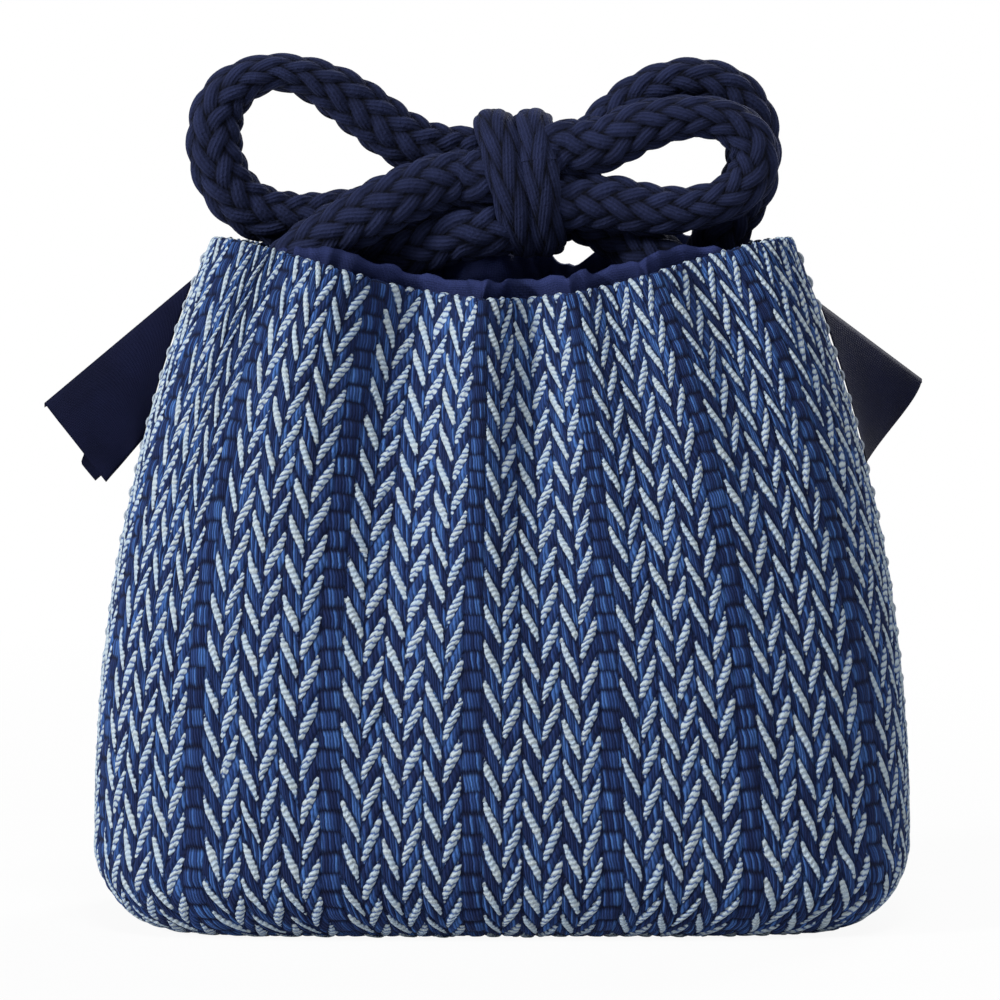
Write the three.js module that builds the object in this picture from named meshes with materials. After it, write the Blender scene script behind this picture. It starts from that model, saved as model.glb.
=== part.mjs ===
// Kinchaku: a gathered drawstring pouch of herringbone cloth with a navy lining, two drawcords tied in a bow
// above the mouth, and a folded pull tab at each side seam.
// Millimetres, +Z up. The origin is the middle of the base, on the surface it stands on. The front faces -Y.

import * as THREE from "three";

// Sizes of the pouch body, measured over the raised yarns
const BASE_WIDTH = 160.4;
const BASE_DEPTH = 85;
const MOUTH_WIDTH = 114;
const MOUTH_DEPTH = 42;
const BODY_HEIGHT = 132.8;
const END_ROUNDING = 11.5;
const FRONT_ROUNDING = 10;
const FRONT_DIP = 11;
const BACK_DIP = 6;

// Cloth thicknesses, and the clearance that neighbouring pieces keep
const CLOTH = 1.6;
const YARN_RELIEF = 0.7;
const LINING = 0.8;
const CLEARANCE = 0.3;
const LINING_BELOW_RIM = 1.2;

// How the walls lean in: a power of the height share, and the squareness of the plan at base and mouth
const WIDTH_LEAN_POWER = 2.5;
const DEPTH_LEAN_POWER = 2.2;
const BASE_SQUARENESS = 4;
const MOUTH_SQUARENESS = 2.4;
const MIDDLE_EASE = 0.2;
const DIP_POWER = 1.5;

// The herringbone: each repeat is one plain column and three V's of two strokes each
const STROKE_WIDTH = 4;
const STROKE_HEIGHT = 7.4;
const ROW_PITCH = 7.8;
const COLUMNS_PER_REPEAT = 7;
const FIRST_PLAIN_COLUMN = 5;
const PANEL_REPEATS = 8;
const EDGE_FADE_ROWS = 3;

// The gathers, by their place across the cloth from its middle and their spread, both in stroke columns,
// their depth in cloth thicknesses, inwards where positive, and how far down from the rim they reach
const FRONT_FOLDS = [
  { at: -6, spread: 2.5, depth: 4.7, reach: 0.66 },
  { at: -1.75, spread: 1.75, depth: -1.9, reach: 0.5 },
  { at: 2, spread: 1.65, depth: 3.75, reach: 0.55 },
  { at: 5.5, spread: 1.75, depth: -1.55, reach: 0.45 },
  { at: 9.25, spread: 2, depth: 2.8, reach: 0.5 },
  { at: 13, spread: 2, depth: -0.95, reach: 0.4 },
  { at: -12, spread: 2.25, depth: -1.55, reach: 0.5 },
  { at: -17, spread: 2.25, depth: 1.25, reach: 0.4 },
  { at: 17, spread: 2.25, depth: 1.55, reach: 0.4 },
];
const BACK_FOLDS = [
  { at: -10, spread: 2.5, depth: 2.6, reach: 0.55 },
  { at: -5, spread: 2, depth: -0.75, reach: 0.45 },
  { at: -0.5, spread: 2.25, depth: 3.1, reach: 0.6 },
  { at: 4.25, spread: 2, depth: -0.75, reach: 0.5 },
  { at: 9, spread: 2.5, depth: 2.75, reach: 0.55 },
  { at: 15, spread: 2.25, depth: 1.1, reach: 0.4 },
];

// The front cloth is pulled towards the left at its rim, round one place and by a share of the cloth's width
const PULL = { at: -14, spread: 6.5, share: 0.1 };
const NO_PULL = { at: 0, spread: 1, share: 0 };

// The gathers fade out within this distance of the line through both seams
const SEAM_EASE = 10.5;

// Grid of the smooth cloth faces, and samples along each plan curve
const SMOOTH_ROWS = 8;
const COLUMNS_PER_SMOOTH_COLUMN = 2;
const PLAN_SAMPLES = 240;
const NORMAL_STEP = 1e-3;

// The casings
const CASING_BELOW_RIM = 27.3;
const CASING_LENGTH = 66;
const CASING_CLOTH = 0.8;
const CASING_PLAY = 0.5;
const CASING_SIDES = 16;
const CASING_SAMPLES = 20;

// The drawcords and their knot
const CORD_DIAMETER = 10;
const CORD_SIDES = 10;
const STEP_DIAMETERS = 0.95;
const KNOT_WIDTH = 17;
const KNOT_HEIGHT = 29;
const KNOT_DEPTH = 26;
const KNOT_CENTRE = new THREE.Vector3(3, 0, 11.2);
const KNOT_TURNS = 2;
const TURN_POINTS = 6;
const KNOT_SIDES = 20;

// The pull tabs: a strip folded along its upper edge and sewn into the side seam. The rear leaf reaches
// further out. Droop and swing to the rear are in degrees, and the twist is the lower edge's further swing
const TAB_LENGTH = 39;
const TAB_WIDTH = 20;
const TAB_CLOTH = 0.9;
const TAB_SPLAY = 4;
const REAR_LEAF_REACH = 5;
const TAB_SEAM_LENGTH = 32;
const TAB_STATIONS = 6;
const TAB_STEPS = 4;
const TABS = [
  { name: "left_tab", side: -1, belowRim: 6.4, droop: 38, swing: 6, twist: 0 },
  { name: "right_tab", side: 1, belowRim: 12.4, droop: 21, swing: 52, twist: 24 },
];

// Colours
const INDIGO = 0x2f4f8c;
const NAVY = 0x151c3d;
const CORD_NAVY = 0x121a35;

const columns = PANEL_REPEATS * COLUMNS_PER_REPEAT;
const clothWidth = columns * STROKE_WIDTH;
const wall = YARN_RELIEF + CLOTH;
const liningOuter = wall + CLEARANCE;
const liningInner = liningOuter + LINING;
const cornerLength = (END_ROUNDING * Math.PI) / 2;
const clothHeight = cornerLength + BODY_HEIGHT - END_ROUNDING;
const cornerShare = cornerLength / clothHeight;
const casingHeight = BODY_HEIGHT - CASING_BELOW_RIM;
const FRONT = { facing: -1, folds: FRONT_FOLDS, pull: PULL, dip: FRONT_DIP };
const BACK = { facing: 1, folds: BACK_FOLDS, pull: NO_PULL, dip: BACK_DIP };

const { lerp, clamp, degToRad } = THREE.MathUtils;

function smooth(value) {
  const s = clamp(value, 0, 1);
  return s * s * (3 - 2 * s);
}

// Half width, half depth, height and squareness of the plan at a share of the cloth's way from base to rim
function planAt(share) {
  if (share < cornerShare) {
    const turn = ((share / cornerShare) * Math.PI) / 2;
    return {
      halfWidth: BASE_WIDTH / 2 - END_ROUNDING * (1 - Math.sin(turn)),
      halfDepth: BASE_DEPTH / 2 - FRONT_ROUNDING * (1 - Math.sin(turn)),
      height: END_ROUNDING * (1 - Math.cos(turn)),
      squareness: BASE_SQUARENESS,
      rise: 0,
    };
  }
  const rise = (share - cornerShare) / (1 - cornerShare);
  return {
    halfWidth: lerp(BASE_WIDTH, MOUTH_WIDTH, rise ** WIDTH_LEAN_POWER) / 2,
    halfDepth: lerp(BASE_DEPTH, MOUTH_DEPTH, rise ** DEPTH_LEAN_POWER) / 2,
    height: lerp(END_ROUNDING, BODY_HEIGHT, rise),
    squareness: lerp(BASE_SQUARENESS, MOUTH_SQUARENESS, rise),
    rise,
  };
}

// Half of a plan curve, from the left seam to the right one, with the length run so far at each sample
const planCurves = new Map();

function planCurve(share) {
  if (planCurves.has(share)) return planCurves.get(share);
  const plan = planAt(share);
  const power = 2 / plan.squareness;
  const samples = [];
  let run = 0;
  for (let i = 0; i <= PLAN_SAMPLES; i++) {
    const angle = (i / PLAN_SAMPLES) * Math.PI;
    const x = -plan.halfWidth * Math.sign(Math.cos(angle)) * Math.abs(Math.cos(angle)) ** power;
    const y = plan.halfDepth * Math.abs(Math.sin(angle)) ** power;
    if (i > 0) run += Math.hypot(x - samples[i - 1].x, y - samples[i - 1].y);
    samples.push({ x, y, run });
  }
  const curve = { plan, samples, length: run };
  planCurves.set(share, curve);
  return curve;
}

// The point of a plan curve at a share of its length, before the gathers
function planPoint(curve, across) {
  const target = clamp(across, 0, 1) * curve.length;
  let next = 1;
  while (next < PLAN_SAMPLES && curve.samples[next].run < target) next++;
  const a = curve.samples[next - 1];
  const b = curve.samples[next];
  const part = (target - a.run) / (b.run - a.run);
  return { x: lerp(a.x, b.x, part), y: lerp(a.y, b.y, part) };
}

// A hump of height 1 round a place, given in stroke columns from the middle of the cloth
function hump({ at, spread }, across) {
  const place = (across - 1 / 2) * columns;
  return Math.exp(-(((place - at) / spread) ** 2));
}

// How far the gathers take the cloth in at a place across it and up it
function gather(side, across, share) {
  let depth = 0;
  for (const fold of side.folds) {
    const down = smooth((share - (1 - fold.reach)) / fold.reach);
    depth += fold.depth * CLOTH * down * hump(fold, across);
  }
  return depth;
}

// The outer face of the cloth with its gathers, before the yarns stand up from it
function clothPoint(side, across, share) {
  const curve = planCurve(share);
  const toMiddle = (MIDDLE_EASE * Math.sin(2 * Math.PI * across)) / (2 * Math.PI);
  const pulled = side.pull.share * hump(side.pull, across) * Math.sin(Math.PI * across);
  const { x, y } = planPoint(curve, across - (toMiddle + pulled) * curve.plan.rise);
  const towardsMiddle = Math.max(0, Math.cos((Math.PI * x) / MOUTH_WIDTH)) ** DIP_POWER;
  const dip = side.dip * towardsMiddle * smooth(curve.plan.rise) * curve.plan.rise;
  const inward = gather(side, across, share) * Math.min(1, y / SEAM_EASE);
  return new THREE.Vector3(x, side.facing * (y - inward), curve.plan.height - dip);
}

// The same place a distance below the outer face, along the cloth's own normal
function insetPoint(side, across, share, inset) {
  const a0 = Math.max(0, across - NORMAL_STEP);
  const a1 = Math.min(1, across + NORMAL_STEP);
  const s0 = Math.max(0, share - NORMAL_STEP);
  const s1 = Math.min(1, share + NORMAL_STEP);
  const along = clothPoint(side, a1, share).sub(clothPoint(side, a0, share));
  const up = clothPoint(side, across, s1).sub(clothPoint(side, across, s0));
  const inwards = side.facing < 0 ? up.cross(along) : along.cross(up);
  if (across === 0 || across === 1) inwards.y = 0;
  return clothPoint(side, across, share).addScaledVector(inwards.normalize(), inset);
}

// The place across the cloth of a step round the pouch, anticlockwise as seen from above
function acrossAt(side, step) {
  return side === FRONT ? step : 1 - step;
}

// A closed surface put together from grids of points, with strips that close their edges
class Surface {
  constructor() {
    this.points = [];
    this.faces = [];
  }

  add(point) {
    this.points.push(point.x, point.y, point.z);
    return this.points.length / 3 - 1;
  }

  // Points in columns and rows, facing the viewer when columns run to the right and rows run up
  grid(columnCount, rowCount, place, facesAway = false) {
    const index = [];
    for (let c = 0; c <= columnCount; c++) {
      index.push([]);
      for (let r = 0; r <= rowCount; r++) index[c].push(this.add(place(c, r)));
    }
    for (let c = 0; c < columnCount; c++) {
      for (let r = 0; r < rowCount; r++) {
        this.quad(index[c][r], index[c + 1][r], index[c + 1][r + 1], index[c][r + 1], facesAway);
      }
    }
    return index;
  }

  quad(a, b, c, d, flipped) {
    if (flipped) this.faces.push(a, c, b, a, d, c);
    else this.faces.push(a, b, c, a, c, d);
  }

  // A strip between two edges that run the same way and may have different numbers of points
  strip(first, second, flipped = false) {
    let i = 0;
    let j = 0;
    while (i < first.length - 1 || j < second.length - 1) {
      const takeFirst = (i + 1) / (first.length - 1) <= (j + 1) / (second.length - 1);
      const face = takeFirst ? [first[i + 1], first[i], second[j]] : [second[j], second[j + 1], first[i]];
      if (flipped) face.reverse();
      this.faces.push(...face);
      if (takeFirst) i++;
      else j++;
    }
  }

  // Triangles from one point to an edge
  fan(centre, edge, flipped) {
    for (let i = 0; i < edge.length - 1; i++) {
      const face = [centre, edge[i], edge[i + 1]];
      if (flipped) face.reverse();
      this.faces.push(...face);
    }
  }

  geometry() {
    const made = new THREE.BufferGeometry();
    made.setAttribute("position", new THREE.Float32BufferAttribute(this.points, 3));
    made.setIndex(this.faces);
    return made;
  }
}

// The four edges of a grid, in order round it
function edgesOf(index) {
  const lastRow = index[0].length - 1;
  const bottom = index.map((column) => column[0]);
  const right = index[index.length - 1];
  const top = index.map((column) => column[lastRow]).reverse();
  const left = [...index[0]].reverse();
  return [bottom, right, top, left];
}

// How far a row of yarns is pushed up or down at a column's edge: down at the foot of each V
function zigzag(edge) {
  const phase = (edge - FIRST_PLAIN_COLUMN + columns) % COLUMNS_PER_REPEAT;
  const atFoot = phase > 1 && phase % 2 === 0;
  return ((atFoot ? -1 : 1) * STROKE_HEIGHT) / 2;
}

// One panel of herringbone cloth, with its ridges of yarn outside and a smooth face inside
function herringbonePanel(side) {
  const rows = Math.round(clothHeight / ROW_PITCH) * 2;
  const surface = new Surface();
  const seamShare = CLEARANCE / 2 / clothWidth;
  const across = (edge, count) => acrossAt(side, lerp(seamShare, 1 - seamShare, edge / count));
  const outer = surface.grid(columns, rows, (c, r) => {
    const fade = Math.min(1, r / EDGE_FADE_ROWS, (rows - r) / EDGE_FADE_ROWS);
    const share = r / rows + (zigzag(c) * fade) / clothHeight;
    const inset = r % 2 === 1 ? 0 : YARN_RELIEF;
    return insetPoint(side, across(c, columns), clamp(share, 0, 1), inset);
  });
  const smoothColumns = columns / COLUMNS_PER_SMOOTH_COLUMN;
  const inner = surface.grid(
    smoothColumns,
    SMOOTH_ROWS,
    (c, r) => insetPoint(side, across(c, smoothColumns), r / SMOOTH_ROWS, wall),
    true,
  );
  const innerEdges = edgesOf(inner);
  edgesOf(outer).forEach((edge, i) => surface.strip(edge, innerEdges[i]));
  return surface.geometry();
}

// The flat bottom of the pouch, inside the foot of the walls
function basePanel() {
  const outline = [];
  for (const side of [FRONT, BACK]) {
    for (let c = 0; c < columns; c += COLUMNS_PER_SMOOTH_COLUMN) {
      const point = clothPoint(side, acrossAt(side, c / columns), 0);
      const length = Math.hypot(point.x, point.y);
      outline.push(new THREE.Vector2(point.x, point.y).multiplyScalar(1 - CLEARANCE / length));
    }
  }
  return new THREE.ExtrudeGeometry(new THREE.Shape(outline), { depth: wall, bevelEnabled: false });
}

// A point of the lining's grid, whose last row stays below the rim
function liningPoint(side, across, row, inset) {
  const share = Math.min(row / SMOOTH_ROWS, 1 - LINING_BELOW_RIM / clothHeight);
  return insetPoint(side, across, share, inset);
}

// The lining: a bag of thin cotton that follows the inside of the walls and the base
function liningBag() {
  const surface = new Surface();
  const perSide = columns / COLUMNS_PER_SMOOTH_COLUMN;
  const skin = (inset, floor, facesAway) => {
    const index = [];
    for (const side of [FRONT, BACK]) {
      for (let c = 0; c < perSide; c++) {
        const across = acrossAt(side, c / perSide);
        const column = [];
        for (let r = 0; r <= SMOOTH_ROWS; r++) column.push(surface.add(liningPoint(side, across, r, inset)));
        index.push(column);
      }
    }
    index.push(index[0]);
    for (let c = 0; c < perSide * 2; c++) {
      for (let r = 0; r < SMOOTH_ROWS; r++) {
        surface.quad(index[c][r], index[c + 1][r], index[c + 1][r + 1], index[c][r + 1], facesAway);
      }
    }
    const centre = surface.add(new THREE.Vector3(0, 0, floor));
    surface.fan(centre, index.map((column) => column[0]), !facesAway);
    return index.map((column) => column[SMOOTH_ROWS]);
  };
  const outerRim = skin(liningOuter, liningOuter, false);
  const innerRim = skin(liningInner, liningInner, true);
  surface.strip(outerRim, innerRim, true);
  return surface.geometry();
}

// How far from the middle a round casing lies when it rests against the lining's deepest gather
function casingOffset(side, outside) {
  const reach = outside + CLEARANCE;
  const perSide = columns / COLUMNS_PER_SMOOTH_COLUMN;
  let nearest = Infinity;
  for (let c = 0; c <= perSide; c++) {
    for (let r = 0; r < SMOOTH_ROWS; r++) {
      const below = liningPoint(side, c / perSide, r, liningInner);
      const above = liningPoint(side, c / perSide, r + 1, liningInner);
      for (let i = 0; i < CASING_SAMPLES; i++) {
        const point = below.clone().lerp(above, i / CASING_SAMPLES);
        const away = Math.abs(point.z - casingHeight);
        if (away > reach || Math.abs(point.x) > CASING_LENGTH / 2) continue;
        nearest = Math.min(nearest, Math.abs(point.y) - Math.sqrt(reach ** 2 - away ** 2));
      }
    }
  }
  return nearest;
}

// A casing: the tunnel of cotton that a drawcord runs through, against the lining's deepest gather
const casingBore = CORD_DIAMETER / 2 + CASING_PLAY;
const casingOutside = casingBore + CASING_CLOTH;
const frontCasingY = -casingOffset(FRONT, casingOutside);
const backCasingY = casingOffset(BACK, casingOutside);

function casing(depth) {
  const ring = new THREE.Shape().absarc(0, 0, casingOutside, 0, Math.PI * 2);
  ring.holes.push(new THREE.Path().absarc(0, 0, casingBore, 0, Math.PI * 2, true));
  const tube = new THREE.ExtrudeGeometry(ring, {
    depth: CASING_LENGTH,
    bevelEnabled: false,
    curveSegments: CASING_SIDES,
  });
  tube.translate(0, 0, -CASING_LENGTH / 2).rotateY(Math.PI / 2);
  return tube.translate(0, depth, casingHeight);
}

// Routes of the cords, from the knot down into the mouth, through a casing and back up to the knot. Their
// heights are above the corners of the rim
const casingEnd = CASING_LENGTH / 2 + 2;
const FRONT_CORD_ROUTE = [
  [11.8, 5.2, 5.2],
  [14.8, 5.2, 5.2],
  [21, 3.8, 2.2],
  [28, 0.5, -2.3],
  [35, -3.5, -6.8],
  [41.5, -6.2, -12.3],
  [44.5, frontCasingY + 3.3, -19.3],
  [casingEnd + 6.5, frontCasingY + 0.8, -25.3],
  [casingEnd, frontCasingY, -CASING_BELOW_RIM],
  [casingEnd / 3, frontCasingY, -CASING_BELOW_RIM],
  [-casingEnd / 3, frontCasingY, -CASING_BELOW_RIM],
  [-casingEnd, frontCasingY, -CASING_BELOW_RIM],
  [-casingEnd - 6.5, frontCasingY + 0.8, -25.3],
  [-45.5, frontCasingY + 3.1, -19.3],
  [-45.5, -7, -11.8],
  [-42, -7, -5.3],
  [-36.5, -8.5, -1.3],
  [-29, -9.5, 3.4],
  [-21, -9.5, 7.5],
  [-14, -7, 10.6],
  [-8.8, -5.5, 11.8],
  [-5.8, -5.5, 11.8],
];
const BACK_CORD_ROUTE = [
  [-5.8, -5.2, 1.4],
  [-8.8, -5.2, 1.4],
  [-16, -2, -1.6],
  [-26, 1.5, -5.3],
  [-34, 4, -7.8],
  [-41.5, 6.5, -12.3],
  [-44.5, backCasingY - 4.9, -19.3],
  [-casingEnd - 6.5, backCasingY - 1.2, -25.3],
  [-casingEnd, backCasingY, -CASING_BELOW_RIM],
  [-casingEnd / 3, backCasingY, -CASING_BELOW_RIM],
  [casingEnd / 3, backCasingY, -CASING_BELOW_RIM],
  [casingEnd, backCasingY, -CASING_BELOW_RIM],
  [casingEnd + 5.5, backCasingY - 1.2, -25.5],
  [43.2, backCasingY - 3.8, -20.3],
  [42.6, 7.4, -13.8],
  [41.4, 6.4, -7.3],
  [42.6, 6, -1.3],
  [46.4, 6, 4.6],
  [50.6, 6, 11],
  [52.2, 6, 18],
  [50.8, 6, 24.4],
  [45.6, 6, 29.2],
  [37.1, 6, 31.1],
  [29, 6.3, 28.8],
  [21.5, 6.2, 22.6],
  [14.8, 5.3, 15.7],
  [11.8, 5.3, 15.7],
];
const LEFT_LOOP_ROUTE = [
  [-5.8, 5.2, 16.7],
  [-8.8, 5.2, 16.7],
  [-15, 4, 17.6],
  [-21.1, 3, 20.6],
  [-26.2, 2.4, 24.4],
  [-32.4, 1.6, 28.7],
  [-38.9, 1, 31.8],
  [-45.5, 0.5, 32.7],
  [-51.8, 0.5, 30.3],
  [-55.6, 0.8, 25.8],
  [-56.7, 1, 20],
  [-55.9, 1.6, 14.4],
  [-53, 2.6, 9],
  [-48, 3.8, 5.2],
  [-40.9, 5, 3.5],
  [-33, 6, 4.1],
  [-26, 6.4, 5.2],
  [-16, 6, 6.2],
  [-8.8, 5.2, 6.2],
  [-5.8, 5.2, 6.2],
];
const RIGHT_LOOP_ROUTE = [
  [11.8, -5.2, 17.7],
  [14.8, -5.2, 17.7],
  [20, -5.5, 18.6],
  [27, -6, 21.8],
  [36.5, -6, 23.8],
  [44, -6, 22.8],
  [48.8, -6, 18.6],
  [49.1, -6, 13.2],
  [45, -6, 8.4],
  [37, -6, 5.8],
  [29, -6, 5.6],
  [21.5, -5.6, 6.8],
  [14.8, -5.2, 7.2],
  [11.8, -5.2, 7.2],
];

// A plain round cord along its route
function cord(route) {
  const points = route.map((point) => new THREE.Vector3(...point));
  const path = new THREE.CatmullRomCurve3(points, false, "centripetal");
  const section = new THREE.Shape();
  for (let i = 0; i < CORD_SIDES; i++) {
    const angle = (i / CORD_SIDES) * Math.PI * 2;
    const corner = [(Math.cos(angle) * CORD_DIAMETER) / 2, (Math.sin(angle) * CORD_DIAMETER) / 2];
    if (i === 0) section.moveTo(...corner);
    else section.lineTo(...corner);
  }
  return new THREE.ExtrudeGeometry(section, {
    steps: Math.ceil(path.getLength() / (CORD_DIAMETER * STEP_DIAMETERS)),
    extrudePath: path,
    bevelEnabled: false,
  });
}

// The knot: two turns of cord side by side round the crossing, with flat sides where the strands go in
function bowKnot() {
  const turnWidth = KNOT_WIDTH / KNOT_TURNS;
  const coreRadius = (KNOT_HEIGHT - turnWidth) / 2;
  const profile = [new THREE.Vector2(0, -KNOT_WIDTH / 2)];
  for (let turn = 0; turn < KNOT_TURNS; turn++) {
    const middle = (turn + 1 / 2) * turnWidth - KNOT_WIDTH / 2;
    for (let i = turn === 0 ? 0 : 1; i <= TURN_POINTS; i++) {
      const angle = (i / TURN_POINTS - 1 / 2) * Math.PI;
      const bulge = (Math.cos(angle) * turnWidth) / 2;
      profile.push(new THREE.Vector2(coreRadius + bulge, middle + (Math.sin(angle) * turnWidth) / 2));
    }
  }
  profile.push(new THREE.Vector2(0, KNOT_WIDTH / 2));
  const knot = new THREE.LatheGeometry(profile, KNOT_SIDES);
  knot.rotateZ(-Math.PI / 2).scale(1, KNOT_DEPTH / KNOT_HEIGHT, 1);
  return knot.translate(KNOT_CENTRE.x, KNOT_CENTRE.y, KNOT_CENTRE.z);
}

// The wall's half width at a height
function halfWidthAt(height) {
  const share = lerp(cornerShare, 1, (height - END_ROUNDING) / (BODY_HEIGHT - END_ROUNDING));
  return planAt(share).halfWidth;
}

// A pull tab: two leaves joined along the upper fold, closed at the seam and splayed at the end
function pullTab({ side, belowRim, droop, swing, twist }) {
  const top = BODY_HEIGHT - belowRim;
  const slope = degToRad(droop);
  const foldRun = { x: Math.cos(slope), z: -Math.sin(slope) };
  const endRun = { x: -Math.sin(slope), z: -Math.cos(slope) };
  const seamTop = halfWidthAt(top) + CLEARANCE;
  const flat = (length, width) => {
    const seamHeight = top - TAB_SEAM_LENGTH * width;
    const atSeam = { x: halfWidthAt(seamHeight) + CLEARANCE, z: seamHeight };
    const atEnd = {
      x: seamTop + TAB_LENGTH * foldRun.x + TAB_WIDTH * width * endRun.x,
      z: top + TAB_LENGTH * foldRun.z + TAB_WIDTH * width * endRun.z,
    };
    return { x: lerp(atSeam.x, atEnd.x, length), z: lerp(atSeam.z, atEnd.z, length) };
  };
  const point = (station, width, leaf, depth) => {
    const length = station / TAB_STATIONS;
    const { x, z } = flat(length, width);
    const apart = (CLEARANCE + TAB_SPLAY * length * length) / 2;
    const y = leaf * (apart * width + depth * TAB_CLOTH * Math.min(1, width * TAB_STEPS));
    const further = leaf > 0 ? REAR_LEAF_REACH * length * width * Math.sin(Math.PI * width) : 0;
    const out = x - flat(0, width).x + further;
    const turn = degToRad(swing + twist * width);
    return new THREE.Vector3(side * (x + further - out * (1 - Math.cos(turn))), y + out * Math.sin(turn), z);
  };
  const crease = TAB_CLOTH / TAB_WIDTH;
  const surface = new Surface();
  const stations = [];
  for (let station = 0; station <= TAB_STATIONS; station++) {
    const fold = surface.add(point(station, 0, 0, 1));
    const inside = surface.add(point(station, crease, 0, 0));
    const leaves = [-1, 1].map((leaf) => {
      const outer = [fold];
      const inner = [inside];
      for (let step = 1; step <= TAB_STEPS; step++) {
        outer.push(surface.add(point(station, step / TAB_STEPS, leaf, 1)));
        inner.push(surface.add(point(station, step / TAB_STEPS, leaf, 0)));
      }
      return { outer, inner };
    });
    stations.push(leaves);
  }
  for (const leaf of [0, 1]) {
    const turned = leaf === 0 ? side > 0 : side < 0;
    for (let s = 0; s < TAB_STATIONS; s++) {
      const near = stations[s][leaf];
      const far = stations[s + 1][leaf];
      for (let k = 0; k < TAB_STEPS; k++) {
        surface.quad(near.outer[k], far.outer[k], far.outer[k + 1], near.outer[k + 1], turned);
        surface.quad(near.inner[k], far.inner[k], far.inner[k + 1], near.inner[k + 1], !turned);
      }
      const edge = [near.outer, far.outer, far.inner, near.inner].map((line) => line[TAB_STEPS]);
      surface.quad(...edge, turned);
    }
    surface.strip(stations[0][leaf].outer, stations[0][leaf].inner, !turned);
    surface.strip(stations[TAB_STATIONS][leaf].outer, stations[TAB_STATIONS][leaf].inner, turned);
  }
  return surface.geometry();
}

const CLOTH_LOOK = { color: INDIGO, roughness: 0.9, metalness: 0 };
const COTTON_LOOK = { color: NAVY, roughness: 0.85, metalness: 0 };
const CORD_LOOK = { color: CORD_NAVY, roughness: 0.95, metalness: 0 };

const pouch = new THREE.Group();
const body = new THREE.Group();
const drawcords = new THREE.Group();
pouch.add(body, drawcords);
drawcords.position.z = BODY_HEIGHT;

function addPiece(group, name, geometry, look) {
  const mesh = new THREE.Mesh(geometry, new THREE.MeshStandardMaterial(look));
  mesh.name = name;
  group.add(mesh);
}

addPiece(body, "front_panel", herringbonePanel(FRONT), CLOTH_LOOK);
addPiece(body, "back_panel", herringbonePanel(BACK), CLOTH_LOOK);
addPiece(body, "base_panel", basePanel(), CLOTH_LOOK);
addPiece(body, "lining", liningBag(), COTTON_LOOK);
addPiece(body, "front_casing", casing(frontCasingY), COTTON_LOOK);
addPiece(body, "back_casing", casing(backCasingY), COTTON_LOOK);
for (const tab of TABS) addPiece(body, tab.name, pullTab(tab), COTTON_LOOK);
addPiece(drawcords, "front_cord", cord(FRONT_CORD_ROUTE), CORD_LOOK);
addPiece(drawcords, "back_cord", cord(BACK_CORD_ROUTE), CORD_LOOK);
addPiece(drawcords, "left_loop", cord(LEFT_LOOP_ROUTE), CORD_LOOK);
addPiece(drawcords, "right_loop", cord(RIGHT_LOOP_ROUTE), CORD_LOOK);
addPiece(drawcords, "bow_knot", bowKnot(), CORD_LOOK);

export default pouch;
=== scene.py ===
# Kinchaku: a gathered drawstring pouch of herringbone cloth with a navy lining, two braided drawcords
# tied in a bow above the mouth, and a folded pull tab at each side seam.
# Sizes are written in millimetres in the frame of the solids and become metres where a mesh is made.
# +Z is up, the origin is the middle of the base, and the front faces -Y.

import math

import bpy
import numpy as np
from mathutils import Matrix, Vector


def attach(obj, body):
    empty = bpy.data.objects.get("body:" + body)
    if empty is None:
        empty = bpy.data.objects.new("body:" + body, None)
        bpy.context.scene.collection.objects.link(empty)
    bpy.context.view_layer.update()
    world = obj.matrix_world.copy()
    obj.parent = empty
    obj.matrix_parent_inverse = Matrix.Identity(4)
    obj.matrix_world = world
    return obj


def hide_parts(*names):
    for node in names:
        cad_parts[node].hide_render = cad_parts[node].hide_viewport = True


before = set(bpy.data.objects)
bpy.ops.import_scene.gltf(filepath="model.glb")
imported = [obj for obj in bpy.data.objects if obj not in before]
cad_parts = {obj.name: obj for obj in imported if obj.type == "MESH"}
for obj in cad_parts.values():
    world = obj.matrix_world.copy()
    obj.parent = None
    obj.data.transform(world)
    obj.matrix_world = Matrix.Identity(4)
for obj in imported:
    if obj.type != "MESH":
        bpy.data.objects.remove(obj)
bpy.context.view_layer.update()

MM = 0.001
BODY = "root"

# Sizes of the pouch body as the photograph shows it, a little different from the solids'
BASE_WIDTH = 160.4
BASE_DEPTH = 85
MOUTH_WIDTH = 114
MOUTH_DEPTH = 42
BODY_HEIGHT = 134.6
END_ROUNDING = 17
FRONT_ROUNDING = 10
FRONT_DIP = 12
BACK_DIP = 7
CLOTH = 1.6
WALL = 2.3
CLEARANCE = 0.3
LINING_INSET = 2.6
LINING_THICKNESS = 0.8
WIDTH_LEAN_POWER = 2.1
DEPTH_LEAN_POWER = 2.2
BASE_SQUARENESS = 6
WALL_SQUARENESS = 3.4
MOUTH_SQUARENESS = 2.4
SEAM_EASE = 10.5
DIP_POWER = 1.5

# Gathers of each wall: place across the cloth from its middle and spread, both in stroke columns,
# depth inwards in cloth thicknesses, and reach down from the rim
FRONT_FOLDS = [
    (-6.2, 2.7, 5.4, 0.92),
    (-1.75, 1.75, -1.9, 0.7),
    (2, 1.8, 3.5, 0.75),
    (5.5, 1.75, -1.55, 0.6),
    (9.25, 2, 2.2, 0.5),
    (10.5, 4.2, -2, 0.9),
    (15, 2, 1.2, 0.8),
    (-12, 2.25, -1.55, 0.5),
    (-17, 2.25, 1.25, 0.4),
    (17, 2.25, 1.55, 0.4),
]
BACK_FOLDS = [
    (-10, 2.5, 2.6, 0.55),
    (-5, 2, -0.75, 0.45),
    (-0.5, 2.25, 3.1, 0.6),
    (4.25, 2, -0.75, 0.5),
    (9, 2.5, 2.75, 0.55),
    (15, 2.25, 1.1, 0.4),
]

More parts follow.
